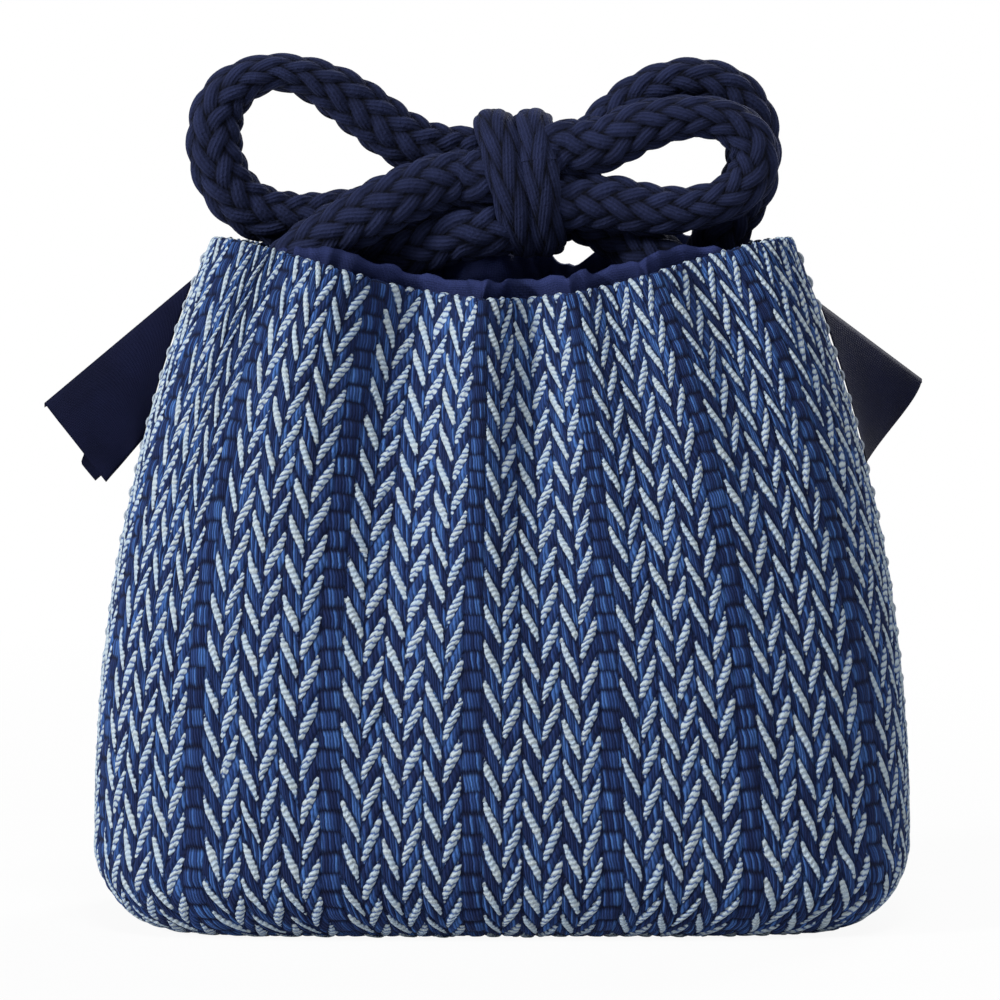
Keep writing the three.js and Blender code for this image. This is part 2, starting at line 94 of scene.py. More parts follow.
# The front cloth is pulled towards the left at its rim: place and spread in stroke columns, and share
# of the width
PULL = (-14, 6, 0.06)
NO_PULL = (0, 1, 0)

# The herringbone: seven columns to a repeat, one of them plain, and bars of yarn that alternate in colour
COLUMN_WIDTH = 4
COLUMNS = 56
COLUMNS_PER_REPEAT = 7
FIRST_PLAIN_COLUMN = 5
STROKE_HEIGHT = 7.4
BAR_PITCH = 3.9
YARN_RELIEF = 0.7
COLUMN_STEPS = 8
BAR_STEPS = 5
HEM_LENGTH = 9
INNER_ROWS = 8
EDGE_FADE_BARS = 1.5
ACROSS_SAMPLES = 561
UP_SAMPLES = 301
PLAN_SAMPLES = 720

# The drawcords: a braid of sixteen strands, two over and two under
CORD_DIAMETER = 10
CORD_SIDES = 56
CORD_STEP = 0.62
CURVE_SAMPLES = 24
STRANDS_EACH_WAY = 8
BRAID_PITCH = 5.6
STRAND_RELIEF = 1.25
BRAID_UNEVENNESS = 0.16
BROAD_HALF = 5.5
ROUND_AREA = 26

NOISE_CELLS = 64

CLOTH_WIDTH = COLUMNS * COLUMN_WIDTH
CORNER_LENGTH = END_ROUNDING * math.pi / 2
CLOTH_HEIGHT = CORNER_LENGTH + BODY_HEIGHT - END_ROUNDING
CORNER_SHARE = CORNER_LENGTH / CLOTH_HEIGHT


def smooth(value):
    """A step from 0 to 1 with soft ends."""
    s = np.clip(value, 0, 1)
    return s * s * (3 - 2 * s)


def lerp(a, b, share):
    return a + (b - a) * share


def unit(vectors):
    """The same directions with length 1."""
    return vectors / np.maximum(np.linalg.norm(vectors, axis=-1, keepdims=True), 1e-9)


def soft_noise(x, y, seed):
    """Smooth random values from -1 to 1 over a grid with cells of one unit."""
    table = np.random.default_rng(seed).uniform(-1, 1, (NOISE_CELLS, NOISE_CELLS))
    column, row = np.floor(x).astype(int), np.floor(y).astype(int)
    across, up = smooth(x - column), smooth(y - row)
    column, row = column % NOISE_CELLS, row % NOISE_CELLS
    next_column, next_row = (column + 1) % NOISE_CELLS, (row + 1) % NOISE_CELLS
    low = lerp(table[column, row], table[next_column, row], across)
    high = lerp(table[column, next_row], table[next_column, next_row], across)
    return lerp(low, high, up)


def plan_at(share):
    """Half width, half depth, height, squareness and rise of the plan at a share of the way up the cloth."""
    if share < CORNER_SHARE:
        turn = share / CORNER_SHARE * math.pi / 2
        half_width = BASE_WIDTH / 2 - END_ROUNDING * (1 - math.sin(turn))
        half_depth = BASE_DEPTH / 2 - FRONT_ROUNDING * (1 - math.sin(turn))
        squareness = lerp(BASE_SQUARENESS, WALL_SQUARENESS, share / CORNER_SHARE)
        return half_width, half_depth, END_ROUNDING * (1 - math.cos(turn)), squareness, 0
    rise = (share - CORNER_SHARE) / (1 - CORNER_SHARE)
    half_width = lerp(BASE_WIDTH, MOUTH_WIDTH, rise**WIDTH_LEAN_POWER) / 2
    half_depth = lerp(BASE_DEPTH, MOUTH_DEPTH, rise**DEPTH_LEAN_POWER) / 2
    squareness = lerp(WALL_SQUARENESS, MOUTH_SQUARENESS, rise)
    return half_width, half_depth, lerp(END_ROUNDING, BODY_HEIGHT, rise), squareness, rise


class Wall:
    """The outer face of one wall as a grid of points, looked up by place across and height along the cloth."""

    def __init__(self, facing, folds, pull, dip):
        self.facing, self.folds, self.pull, self.dip = facing, folds, pull, dip
        across = np.linspace(0, 1, ACROSS_SAMPLES)
        rows = [self.row(across, share) for share in np.linspace(0, 1, UP_SAMPLES)]
        self.points = np.stack(rows, axis=1)
        along = np.gradient(self.points, axis=0)
        up = np.gradient(self.points, axis=1)
        inward = np.cross(up, along) * -facing
        inward[[0, -1], :, 1] = 0
        self.inward = unit(inward)
        self.up = unit(up)

    def row(self, across, share):
        """The cloth's points at one share of its height, with its gathers."""
        half_width, half_depth, height, squareness, rise = plan_at(share)
        angle = np.linspace(0, math.pi, PLAN_SAMPLES + 1)
        power = 2 / squareness
        x = -half_width * np.sign(np.cos(angle)) * np.abs(np.cos(angle)) ** power
        y = half_depth * np.abs(np.sin(angle)) ** power
        run = np.concatenate([[0], np.cumsum(np.hypot(np.diff(x), np.diff(y)))])
        place = (across - 0.5) * COLUMNS
        at, spread, pull = self.pull
        pulled = pull * np.exp(-(((place - at) / spread) ** 2)) * np.sin(math.pi * across)
        target = (across - pulled * rise) * run[-1]
        x, y = np.interp(target, run, x), np.interp(target, run, y)
        towards_middle = np.maximum(0, np.cos(math.pi * x / MOUTH_WIDTH)) ** DIP_POWER
        inward = np.zeros_like(x)
        for at, spread, depth, reach in self.folds:
            down = smooth((share - (1 - reach)) / reach)
            inward += depth * CLOTH * down * np.exp(-(((place - at) / spread) ** 2))
        inward *= np.minimum(1, y / SEAM_EASE)
        z = height - self.dip * towards_middle * smooth(rise) * rise
        return np.stack([x, self.facing * (y - inward), z], axis=-1)

    def look_up(self, across, height):
        """Points, inward directions and upward directions; above the rim the cloth goes straight on."""
        share = np.clip(height / CLOTH_HEIGHT, 0, 1)
        a = np.clip(across, 0, 1) * (ACROSS_SAMPLES - 1)
        b = share * (UP_SAMPLES - 1)
        i = np.minimum(a.astype(int), ACROSS_SAMPLES - 2)
        j = np.minimum(b.astype(int), UP_SAMPLES - 2)
        s, t = (a - i)[..., None], (b - j)[..., None]
        found = []
        for field in (self.points, self.inward, self.up):
            low = lerp(field[i, j], field[i + 1, j], s)
            high = lerp(field[i, j + 1], field[i + 1, j + 1], s)
            found.append(lerp(low, high, t))
        points, inward, up = found
        beyond = np.maximum(0, height - CLOTH_HEIGHT)[..., None]
        return points + unit(up) * beyond, unit(inward), unit(up)

    def across_at(self, step):
        """The place across the cloth of a step round the pouch, anticlockwise as seen from above."""
        return step if self.facing < 0 else 1 - step


FRONT = Wall(-1, FRONT_FOLDS, PULL, FRONT_DIP)
BACK = Wall(1, BACK_FOLDS, NO_PULL, BACK_DIP)


def add_object(name, points, faces, uv=None):
    """A mesh object from points in millimetres, faces and, where given, a UV for each point."""
    mesh = bpy.data.meshes.new(name)
    mesh.from_pydata((np.asarray(points) * MM).tolist(), [], faces)
    if uv is not None:
        layer = mesh.uv_layers.new(name="weave")
        corners = np.zeros(len(mesh.loops), dtype=int)
        mesh.loops.foreach_get("vertex_index", corners)
        layer.data.foreach_set("uv", np.asarray(uv, dtype=float)[corners].ravel())
    mesh.polygons.foreach_set("use_smooth", [True] * len(mesh.polygons))
    mesh.validate()
    made = bpy.data.objects.new(name, mesh)
    bpy.context.scene.collection.objects.link(made)
    return made


def grid_faces(columns, rows, first=0, joined_columns=False, joined_rows=False):
    """Quads over points in columns of rows, facing the viewer when columns run right and rows run up."""
    index = first + np.arange(columns * rows).reshape(columns, rows)
    if joined_columns:
        index = np.vstack([index, index[:1]])
    if joined_rows:
        index = np.hstack([index, index[:, :1]])
    low_left, low_right = index[:-1, :-1], index[1:, :-1]
    high_left, high_right = index[:-1, 1:], index[1:, 1:]
    return np.stack([low_left, low_right, high_right, high_left], axis=-1).reshape(-1, 4).tolist()


# Cords: the heights of each route count from the corners of the rim
CASING_BELOW_RIM = 27.3
CASING_END = 35
FRONT_CASING_Y = -10
BACK_CASING_Y = 14.2
FRONT_CORD_ROUTE = [
    [5, 4, 5.2],
    [11.8, 5.2, 4.2],
    [14.8, 5.2, 4.2],
    [21, 3.8, 1.2],
    [28, 0.5, -3.3],
    [35, -3.5, -7.8],
    [41.5, -6.2, -13.3],
    [44.5, FRONT_CASING_Y + 3.3, -20.3],
    [CASING_END + 6.5, FRONT_CASING_Y + 0.8, -25.3],
    [CASING_END, FRONT_CASING_Y, -CASING_BELOW_RIM],
    [CASING_END / 3, FRONT_CASING_Y, -CASING_BELOW_RIM],
    [-CASING_END / 3, FRONT_CASING_Y, -CASING_BELOW_RIM],
    [-CASING_END, FRONT_CASING_Y, -CASING_BELOW_RIM],
    [-CASING_END - 6.5, FRONT_CASING_Y + 0.8, -25.3],
    [-44.8, FRONT_CASING_Y + 3.8, -20.3],
    [-44.5, -6.2, -12.8],
    [-41.2, -6.7, -6.3],
    [-36.5, -8.1, -2.3],
    [-29, -9.5, 2.4],
    [-21, -9.5, 6.5],
    [-14, -7, 9.6],
    [-8.8, -5.5, 10.8],
    [-5.8, -5.5, 10.8],
    [11.8, -5.2, 16.7],
    [14.8, -5.2, 16.7],
    [20, -5.5, 17.6],
    [27, -6, 20.8],
    [36.5, -6, 22.8],
    [44, -6, 21.8],
    [48.8, -6, 17.6],
    [49.1, -6, 12.2],
    [45, -6, 7.4],
    [37, -6, 4.8],
    [29, -6, 4.6],
    [21.5, -5.6, 5.8],
    [14.8, -5.2, 6.2],
    [11.8, -5.2, 6.2],
    [5, -4, 7.2],
]
BACK_CORD_ROUTE = [
    [1, -4, 1.7],
    [-5.8, -5.2, 0.4],
    [-8.8, -5.2, 0.4],
    [-16, -2, -2.6],
    [-26, 1.5, -6.3],
    [-34, 4, -8.8],
    [-41.5, 6.5, -13.3],
    [-44.5, BACK_CASING_Y - 4.9, -20.3],
    [-CASING_END - 6.5, BACK_CASING_Y - 1.2, -25.3],
    [-CASING_END, BACK_CASING_Y, -CASING_BELOW_RIM],
    [-CASING_END / 3, BACK_CASING_Y, -CASING_BELOW_RIM],
    [CASING_END / 3, BACK_CASING_Y, -CASING_BELOW_RIM],
    [CASING_END, BACK_CASING_Y, -CASING_BELOW_RIM],
    [CASING_END + 5.5, BACK_CASING_Y - 1.2, -25.5],
    [43.2, BACK_CASING_Y - 3.8, -21.3],
    [42.6, 7.4, -14.8],
    [41.4, 6.4, -8.3],
    [42.2, 6, -2.3],
    [45.2, 6, 3.6],
    [48.8, 6, 10],
    [49.8, 6, 17],
    [48.8, 6, 23.4],
    [44.8, 6, 28.2],
    [37.1, 6, 30.1],
    [29, 6.3, 27.8],
    [21.5, 6.2, 21.6],
    [14.8, 5.3, 14.7],
    [11.8, 5.3, 14.7],
    [-5.8, 5.2, 15.7],
    [-8.8, 5.2, 15.7],
    [-15, 4, 16.6],
    [-21.1, 3, 19.6],
    [-26.2, 2.4, 23.4],
    [-32.4, 1.6, 27.7],
    [-38.9, 1, 30.8],
    [-45.5, 0.5, 31.7],
    [-51.8, 0.5, 29.3],
    [-55.6, 0.8, 24.8],
    [-56.7, 1, 19],
    [-55.9, 1.6, 13.4],
    [-53, 2.6, 8],
    [-48, 3.8, 4.2],
    [-40.9, 5, 2.5],
    [-33, 6, 3.1],
    [-26, 6.4, 4.2],
    [-16, 6, 5.2],
    [-8.8, 5.2, 5.2],
    [-5.8, 5.2, 5.2],
    [1, 4, 5.7],
]


def catmull_rom(route, step):
    """Points about one step apart on a centripetal curve through the route."""
    p = np.array(route, dtype=float) + [0, 0, BODY_HEIGHT]
    p = np.vstack([2 * p[0] - p[1], p, 2 * p[-1] - p[-2]])
    dense = []
    for i in range(1, len(p) - 2):
        p0, p1, p2, p3 = p[i - 1 : i + 3]
        knots = np.cumsum([0] + [np.linalg.norm(b - a) ** 0.5 for a, b in ((p0, p1), (p1, p2), (p2, p3))])
        t0, t1, t2, t3 = knots
        t = np.linspace(t1, t2, CURVE_SAMPLES, endpoint=False)[:, None]
        a1 = lerp(p0, p1, (t - t0) / (t1 - t0))
        a2 = lerp(p1, p2, (t - t1) / (t2 - t1))
        a3 = lerp(p2, p3, (t - t2) / (t3 - t2))
        b1 = lerp(a1, a2, (t - t0) / (t2 - t0))
        b2 = lerp(a2, a3, (t - t1) / (t3 - t1))
        dense.append(lerp(b1, b2, (t - t1) / (t2 - t1)))
    line = np.vstack([*dense, p[-2]])
    run = np.concatenate([[0], np.cumsum(np.linalg.norm(np.diff(line, axis=0), axis=1))])
    at = np.linspace(0, run[-1], max(2, round(run[-1] / step)) + 1)
    return np.stack([np.interp(at, run, line[:, k]) for k in range(3)], axis=1), at


def upright_frames(line):
    """Two directions across a line: one in the bow's upright plane, and one mostly to the front."""
    tangents = unit(np.gradient(line, axis=0))
    sides = unit(np.cross(tangents, [0, 1, 0]))
    return sides, np.cross(tangents, sides)


def half_widths(line, narrow):
    """Half sizes across a flattened cord: broad in the plane of the bow, but less at the narrow places."""
    broad = np.full(len(line), BROAD_HALF)
    for place, spread, half in narrow:
        distance = np.linalg.norm(line - np.array(place), axis=1)
        broad += (half - BROAD_HALF) * np.exp(-((distance / spread) ** 2))
    return np.stack([broad, np.minimum(ROUND_AREA / broad, BROAD_HALF)], axis=1)


def carried_frames(line):
    """Two directions across a line at each of its points, which turn as little as they can along it."""
    tangents = unit(np.gradient(line, axis=0))
    side = unit(np.cross(tangents[0], [0, 0.3, 1]))
    sides = [side]
    for tangent in tangents[1:]:
        side = unit(side - tangent * np.dot(side, tangent))
        sides.append(side)
    sides = np.array(sides)
    return sides, np.cross(tangents, sides)


def braid_height(round_it, along):
    """Height from 0 to 1 of a braid, two strands over two, from strand widths round and pitches along."""
    one_way, other_way = round_it + along, round_it - along
    cell = np.mod(np.floor(one_way) + np.floor(other_way), 4)
    first = cell < 2
    across = np.where(first, np.mod(one_way, 1), np.mod(other_way, 1))
    length = np.where(first, cell + np.mod(other_way, 1), cell - 2 + np.mod(one_way, 1)) / 2
    crest = np.sqrt(np.maximum(0, 1 - (2 * across - 1) ** 2))
    return crest ** 0.8 * (0.3 + 0.7 * np.sin(np.pi * length) ** 0.7)


def braided_tube(name, line, run, widths, frames, pitch=BRAID_PITCH, relief=STRAND_RELIEF):
    """A closed tube of braid along a line, with its half sizes in the two directions of its frames."""
    sides, ups = frames
    angle = np.arange(CORD_SIDES) / CORD_SIDES * 2 * np.pi
    along, turn = np.meshgrid(run / pitch, angle, indexing="ij")
    round_it = turn / (2 * np.pi) * STRANDS_EACH_WAY
    height = braid_height(round_it, along)
    uneven = BRAID_UNEVENNESS * soft_noise(round_it * 0.7 + 3, along * 0.45, 11)
    radius = CORD_DIAMETER / 2 + relief * 0.25 - relief * (1 - height) + uneven
    half = np.asarray(widths) / (CORD_DIAMETER / 2)
    across = (radius * np.cos(turn) * half[:, :1])[..., None] * sides[:, None]
    up = (radius * np.sin(turn) * half[:, 1:])[..., None] * ups[:, None]
    points = (line[:, None] + across + up).reshape(-1, 3)
    count = len(line)
    faces = [face[::-1] for face in grid_faces(count, CORD_SIDES, joined_rows=True)]
    faces.append(list(range(CORD_SIDES)))
    faces.append(list(range(count * CORD_SIDES - 1, (count - 1) * CORD_SIDES - 1, -1)))
    uv = np.stack([round_it, along], axis=-1).reshape(-1, 2)
    return add_object(name, points, faces, uv)


# The wrap round the crossing: its turns, its half depth and half height, and where its strands lie at the
# top and the foot of the first turn and of the later ones
WRAP_TURNS = (-0.25, 2.2)
WRAP_SAMPLES = 300
WRAP_HALF_DEPTH = 9.6
WRAP_HALF_HEIGHT = 11.8
WRAP_FACING_HEIGHT = 11.6
WRAP_CENTRE_Z = 144.6
WRAP_TOP_X = (-1.6, 6.0)
WRAP_FOOT_X = (4.6, 8.6)
WRAP_HALF_WIDTHS = [4.1, 2.9]
WRAP_PITCH = 9.5
WRAP_RELIEF = 0.9


def wrap_path():
    """The turns that wrap the crossing: high on the left at the top, and drawn together low on the right."""
    turn = np.linspace(*WRAP_TURNS, WRAP_SAMPLES)
    angle = turn * 2 * np.pi
    up = np.cos(angle)
    front = -np.sin(angle)
    shift = np.where(turn < 1, smooth((turn - 0.55) / 0.4), 1)
    top = lerp(*WRAP_TOP_X, shift)
    foot = lerp(*WRAP_FOOT_X, shift)
    x = lerp(foot, top, (up + 1) / 2)
    line = np.stack([x, front * WRAP_HALF_DEPTH, WRAP_CENTRE_Z + up * WRAP_HALF_HEIGHT], axis=1)
    run = np.concatenate([[0], np.cumsum(np.linalg.norm(np.diff(line, axis=0), axis=1))])
    outwards = unit(np.stack([np.zeros_like(up), front / WRAP_HALF_DEPTH, up / WRAP_FACING_HEIGHT], axis=1))
    tangents = unit(np.gradient(line, axis=0))
    across = unit(np.cross(tangents, outwards))
    return line, run, (across, np.cross(tangents, across))


front_line, front_run = catmull_rom(FRONT_CORD_ROUTE, CORD_STEP)
back_line, back_run = catmull_rom(BACK_CORD_ROUTE, CORD_STEP)
wrap_line, wrap_run, wrap_frames = wrap_path()

# Where the loops bend and are seen on their edge: place, with its height from the base, spread and half size
FRONT_NARROW = [((40, -6, 157.2), 12, 4.2), ((40, -6, 139.2), 12, 4.4)]
BACK_NARROW = [((-44, 0.5, 166.2), 11, 3.6), ((38, 6, 164.8), 14, 4.6)]
front_widths = half_widths(front_line, FRONT_NARROW)
back_widths = half_widths(back_line, BACK_NARROW)
wrap_widths = np.tile(WRAP_HALF_WIDTHS, (len(wrap_line), 1))
front_cord = braided_tube("front_drawcord", front_line, front_run, front_widths, upright_frames(front_line))
back_cord = braided_tube("back_drawcord", back_line, back_run, back_widths, upright_frames(back_line))
bow_wrap = braided_tube("bow_wrap", wrap_line, wrap_run, wrap_widths, wrap_frames, WRAP_PITCH, WRAP_RELIEF)

# The herringbone cloth: relief of each kind of yarn, how uneven it is, and how far the bars drift
PLAIN_RELIEF = 0.85
INDIGO_RELIEF = 0.72
YARN_UNEVENNESS = 0.22
BAR_DRIFT = 0.45
FINE_DRIFT = 0.2
HEM_FADE = 4
SEAM_SINK = 0.7
SEAM_SINK_COLUMNS = 0.55

# The base cloth: spokes and rings of its mesh, and the bar of the weave at its middle
SPOKES_PER_COLUMN = 4
BASE_RINGS = 64
INNER_RING = 0.02
UPPER_RING_STEP = 21
BASE_MIDDLE_BAR = 40


def zigzag(column):
    """How far a bar of yarn is pushed up or down at a place across the cloth, in columns."""
    phase = np.mod(column - FIRST_PLAIN_COLUMN, COLUMNS_PER_REPEAT)
    edges = np.array([1, 1, -1, 1, -1, 1, -1, 1]) * STROKE_HEIGHT / 2
    return np.interp(phase, np.arange(8), edges)


def yarn_height(column, bar):
    """Height of the yarns at a place in columns and bars, from 0 to their full relief."""
    whole = np.floor(column)
    f, g = column - whole, bar - np.floor(bar)
    phase = np.mod(whole - FIRST_PLAIN_COLUMN, COLUMNS_PER_REPEAT)
    white = (phase > 0) & (np.mod(np.floor(bar) + 1 - np.mod(phase, 2), 2) < 0.5)
    amount = np.where(white, 1.0, np.where(phase < 0.5, PLAIN_RELIEF, INDIGO_RELIEF))
    crest = np.sqrt(np.maximum(0, 1 - 0.97 * (2 * g - 1) ** 2))
    ends = 1 - 0.75 * np.abs(2 * f - 1) ** 4
    uneven = 1 + YARN_UNEVENNESS * soft_noise(column * 1.3, bar * 1.1, 5)
    return YARN_RELIEF * amount * crest * ends * uneven


def herringbone_panel(name, wall):
    """One wall of cloth: from the base seam up, over the rim, down as a hem, and on as the inner face."""
    rim_radius = WALL / 2
    top = CLOTH_HEIGHT - rim_radius
    turned = top + math.pi * rim_radius
    bars = math.ceil((turned + HEM_LENGTH) / BAR_PITCH)
    column = np.arange(COLUMNS * COLUMN_STEPS + 1) / COLUMN_STEPS
    bar = np.arange(bars * BAR_STEPS + 1) / BAR_STEPS
    c, v = np.meshgrid(column, bar, indexing="ij")
    fade = np.clip(np.minimum(v, bars - v) / EDGE_FADE_BARS, 0, 1)
    drift = BAR_DRIFT * soft_noise(c * 0.32, v * 0.2, 21) + FINE_DRIFT * soft_noise(c * 1.1, v * 0.7, 23)
    drift = drift * fade
    way = v * BAR_PITCH + (zigzag(c) + drift) * fade
    relief = yarn_height(c, v) * (1 - smooth((way - turned) / HEM_FADE))
    inner = np.linspace(way[:, -1], np.full(len(column), turned + top), INNER_ROWS + 1, axis=1)[:, 1:]
    way = np.hstack([way, inner])
    relief = np.hstack([relief, np.full(inner.shape, YARN_RELIEF)])
    v = np.hstack([v, np.tile(bars + np.arange(1, INNER_ROWS + 1), (len(column), 1))])
    c = np.tile(column[:, None], (1, v.shape[1]))
    seam = CLEARANCE / 2 / CLOTH_WIDTH
    across = wall.across_at(lerp(seam, 1 - seam, c / COLUMNS))
    outside = np.minimum(way, top)
    inside = np.clip(top - (way - turned), 0, top)
    height = np.where(way <= turned, outside, inside)
    points, inward, up = wall.look_up(across, height)
    angle = np.clip((way - top) / rim_radius, 0, math.pi)[..., None]
    sunk = (smooth(1 - np.minimum(c, COLUMNS - c) / SEAM_SINK_COLUMNS) * SEAM_SINK)[..., None]
    points = points + inward * rim_radius * (1 - np.cos(angle)) + up * rim_radius * np.sin(angle)
    outwards = up * np.sin(angle) - inward * np.cos(angle)
    points = points + outwards * (relief[..., None] - YARN_RELIEF) + inward * sunk * (np.cos(angle) > 0)
    rows = v.shape[1]
    faces = grid_faces(len(column), rows, joined_rows=True)
    faces.append(list(range(rows)))
    faces.append(list(range(len(column) * rows - 1, (len(column) - 1) * rows - 1, -1)))
    uv = np.stack([c, v], axis=-1).reshape(-1, 2)
    return add_object(name, points.reshape(-1, 3), faces, uv)


def weave_on_base(x, y):
    """The column and the bar of the weave at a place on the base."""
    column = x / COLUMN_WIDTH + COLUMNS / 2
    return column, (y - zigzag(column)) / BAR_PITCH + BASE_MIDDLE_BAR


def base_cloth():
    """The flat bottom: the same cloth, face down, inside the foot of the walls."""
    spokes = np.arange(COLUMNS * SPOKES_PER_COLUMN) / (COLUMNS * SPOKES_PER_COLUMN)
    outline = []
    for wall in (FRONT, BACK):
        edge, _, _ = wall.look_up(wall.across_at(spokes), np.zeros_like(spokes))
        outline.append(edge[:, :2])
    outline = np.vstack(outline)
    outline *= 1 - CLEARANCE / np.linalg.norm(outline, axis=1, keepdims=True)
    rings = np.linspace(1, INNER_RING, BASE_RINGS)
    flat = outline[:, None] * rings[None, :, None]
    relief = yarn_height(*weave_on_base(flat[..., 0], flat[..., 1]))
    under = np.concatenate([flat, (YARN_RELIEF - relief)[..., None]], axis=-1)
    plain = flat[:, ::-UPPER_RING_STEP]
    over = np.concatenate([plain, np.full((*plain.shape[:2], 1), WALL)], axis=-1)
    points = np.concatenate([under[:, ::-1], over[:, ::-1]], axis=1)
    count, rows = points.shape[:2]
    faces = grid_faces(count, rows, joined_columns=True)
    faces.append([i * rows for i in range(count)][::-1])
    faces.append([i * rows + rows - 1 for i in range(count)])
    uv = np.stack(weave_on_base(points[..., 0], points[..., 1]), axis=-1).reshape(-1, 2)
    return add_object("base_cloth", points.reshape(-1, 3), faces, uv)


front_cloth = herringbone_panel("front_cloth", FRONT)
back_cloth = herringbone_panel("back_cloth", BACK)
bottom_cloth = base_cloth()

# The lining and its casings
LINING_COLUMNS = 170
LINING_ROWS = 110
RUFFLE_HALF_WIDTH = 50
RUFFLE_FADE = 16
RUFFLE_AT_SEAM = 0.8
FRONT_RUFFLE = 4.2
BACK_RUFFLE = 5.4
BACK_SLACK = 3.8
SLACK_X = 15.6
SLACK_SPREAD = 5
PLEAT_DEPTH = 1.2
PUFF_DEPTH = 1.5
PUFF_BELOW_RIM = 4.5
PUFF_SPREAD = 3.6
CRUMPLE = 0.25
RIM_LEAN = 0.55
CASING_HEIGHT = BODY_HEIGHT - CASING_BELOW_RIM
CASING_LENGTH = 66
CASING_RADIUS = 6.3
CASING_CLOTH = 0.8
CASING_STEPS = 132
CASING_SIDES = 40


def lining_bag():
    """A bag of thin cotton inside the walls, gathered above the casings and puffed out at the rim."""
    step = np.arange(LINING_COLUMNS) / LINING_COLUMNS
    rise = np.linspace(0, 1, LINING_ROWS + 1)
    skins = []
    for thickness in (0, LINING_THICKNESS):
        sides = []
        for number, wall in enumerate((FRONT, BACK)):
            s, t = np.meshgrid(step, rise, indexing="ij")
            across = wall.across_at(s)
            rim_x = wall.look_up(across, np.full(s.shape, CLOTH_HEIGHT))[0][..., 0]
            inner = smooth((RUFFLE_HALF_WIDTH - np.abs(rim_x)) / RUFFLE_FADE)
            slack = np.exp(-(((rim_x - SLACK_X) / SLACK_SPREAD) ** 2))
            ruffle = BACK_RUFFLE - BACK_SLACK * slack if wall is BACK else FRONT_RUFFLE
            above = inner * ruffle - RUFFLE_AT_SEAM
            height = t * (CLOTH_HEIGHT + above)
            points, inward, up = wall.look_up(across, height)
            place = s * CLOTH_WIDTH + 300 * number
            near_rim = smooth((t - 0.72) / 0.16)
            pleats = np.abs(np.sin(place * 0.43 + 1.3 * soft_noise(place * 0.06, t * 3, 31)))
            puff = np.exp(-(((height - (CLOTH_HEIGHT - PUFF_BELOW_RIM)) / PUFF_SPREAD) ** 2))
            crumple = CRUMPLE * soft_noise(place * 0.12, t * 14, 33) + CRUMPLE
            extra = near_rim * (PLEAT_DEPTH * pleats + PUFF_DEPTH * puff * (0.4 + 0.6 * pleats)) + crumple
            lean = np.where(height > CLOTH_HEIGHT - 1, (height - CLOTH_HEIGHT + 1) * RIM_LEAN, 0)
            depth = LINING_INSET + thickness + extra - lean
            edge = (soft_noise(place * 0.3, t * 0 + 0.5, 35) * smooth((t - 0.94) / 0.06))[..., None]
            sides.append(points + inward * depth[..., None] + up * edge)
        skins.append(np.vstack(sides))
    outer, inner = skins
    points = np.concatenate([outer, inner[:, ::-1]], axis=1)
    count, rows = points.shape[:2]
    faces = grid_faces(count, rows, joined_columns=True)
    faces.append([i * rows for i in range(count)][::-1])
    faces.append([i * rows + rows - 1 for i in range(count)])
    ring = np.arange(count)[:, None] / count * 2 * CLOTH_WIDTH
    heights = np.concatenate([rise, rise[::-1]])[None, :] * CLOTH_HEIGHT
    uv = np.stack(np.broadcast_arrays(ring, heights), axis=-1).reshape(-1, 2)
    return add_object("cotton_lining", points.reshape(-1, 3), faces, uv)


def casing(name, facing, offset):
    """The tunnel of cotton round a drawcord, ruffled along its length."""
    along = np.linspace(-CASING_LENGTH / 2, CASING_LENGTH / 2, CASING_STEPS + 1)
    angle = np.arange(CASING_SIDES) / CASING_SIDES * 2 * np.pi
    x, turn = np.meshgrid(along, angle, indexing="ij")
    ruffle = 0.45 * np.sin(x * 1.15 + 1.6 * np.sin(x * 0.23 + facing) + 0.9 * np.cos(turn + x * 0.05))
    ruffle += 0.18 * soft_noise(x * 0.4 + 9, turn * 1.9, 41)
    skins = []
    for radius in (CASING_RADIUS, CASING_RADIUS - CASING_CLOTH):
        r = radius + 0.35 * ruffle
        skins.append(np.stack([x, offset + r * np.cos(turn), CASING_HEIGHT + r * np.sin(turn)], axis=-1))
    points = np.concatenate([skins[0], skins[1][::-1]], axis=0)
    quads = grid_faces(len(points), CASING_SIDES, joined_columns=True, joined_rows=True)
    faces = [face[::-1] for face in quads]
    arc = np.stack([points[..., 0], np.tile(angle * CASING_RADIUS, (len(points), 1))], axis=-1)
    return add_object(name, points.reshape(-1, 3), faces, arc.reshape(-1, 2))


lining = lining_bag()
front_casing = casing("front_casing_ruffle", -1, FRONT_CASING_Y)
back_casing = casing("back_casing_ruffle", 1, BACK_CASING_Y)

# The pull tabs
TAB_LENGTH = 39
TAB_WIDTH = 20
TAB_CLOTH = 0.9
TAB_SPLAY = 4
REAR_LEAF_REACH = 2.6
REAR_LEAF_FROM = 0.6
REAR_LEAF_FADE = 0.2
TAB_BOW = 1.6
TAB_CRUMPLE = 0.9
TWIST_POWER = 1.5
TAB_SEAM_LENGTH = 32
TAB_STATIONS = 40
TAB_STEPS = 24
TABS = [
    {
        "name": "left_pull_tab",
        "node": "left_tab",
        "side": -1,
        "below_rim": 8.6,
        "droop": 39.5,
        "swing": 6,
        "twist": 0,
    },
    {
        "name": "right_pull_tab",
        "node": "right_tab",
        "side": 1,
        "below_rim": 13.4,
        "droop": 24,
        "swing": 50,
        "twist": 40,
    },
]


def half_width_at(height):
    """The wall's half width at a height."""
    share = lerp(CORNER_SHARE, 1, (height - END_ROUNDING) / (BODY_HEIGHT - END_ROUNDING))
    return plan_at(share)[0]


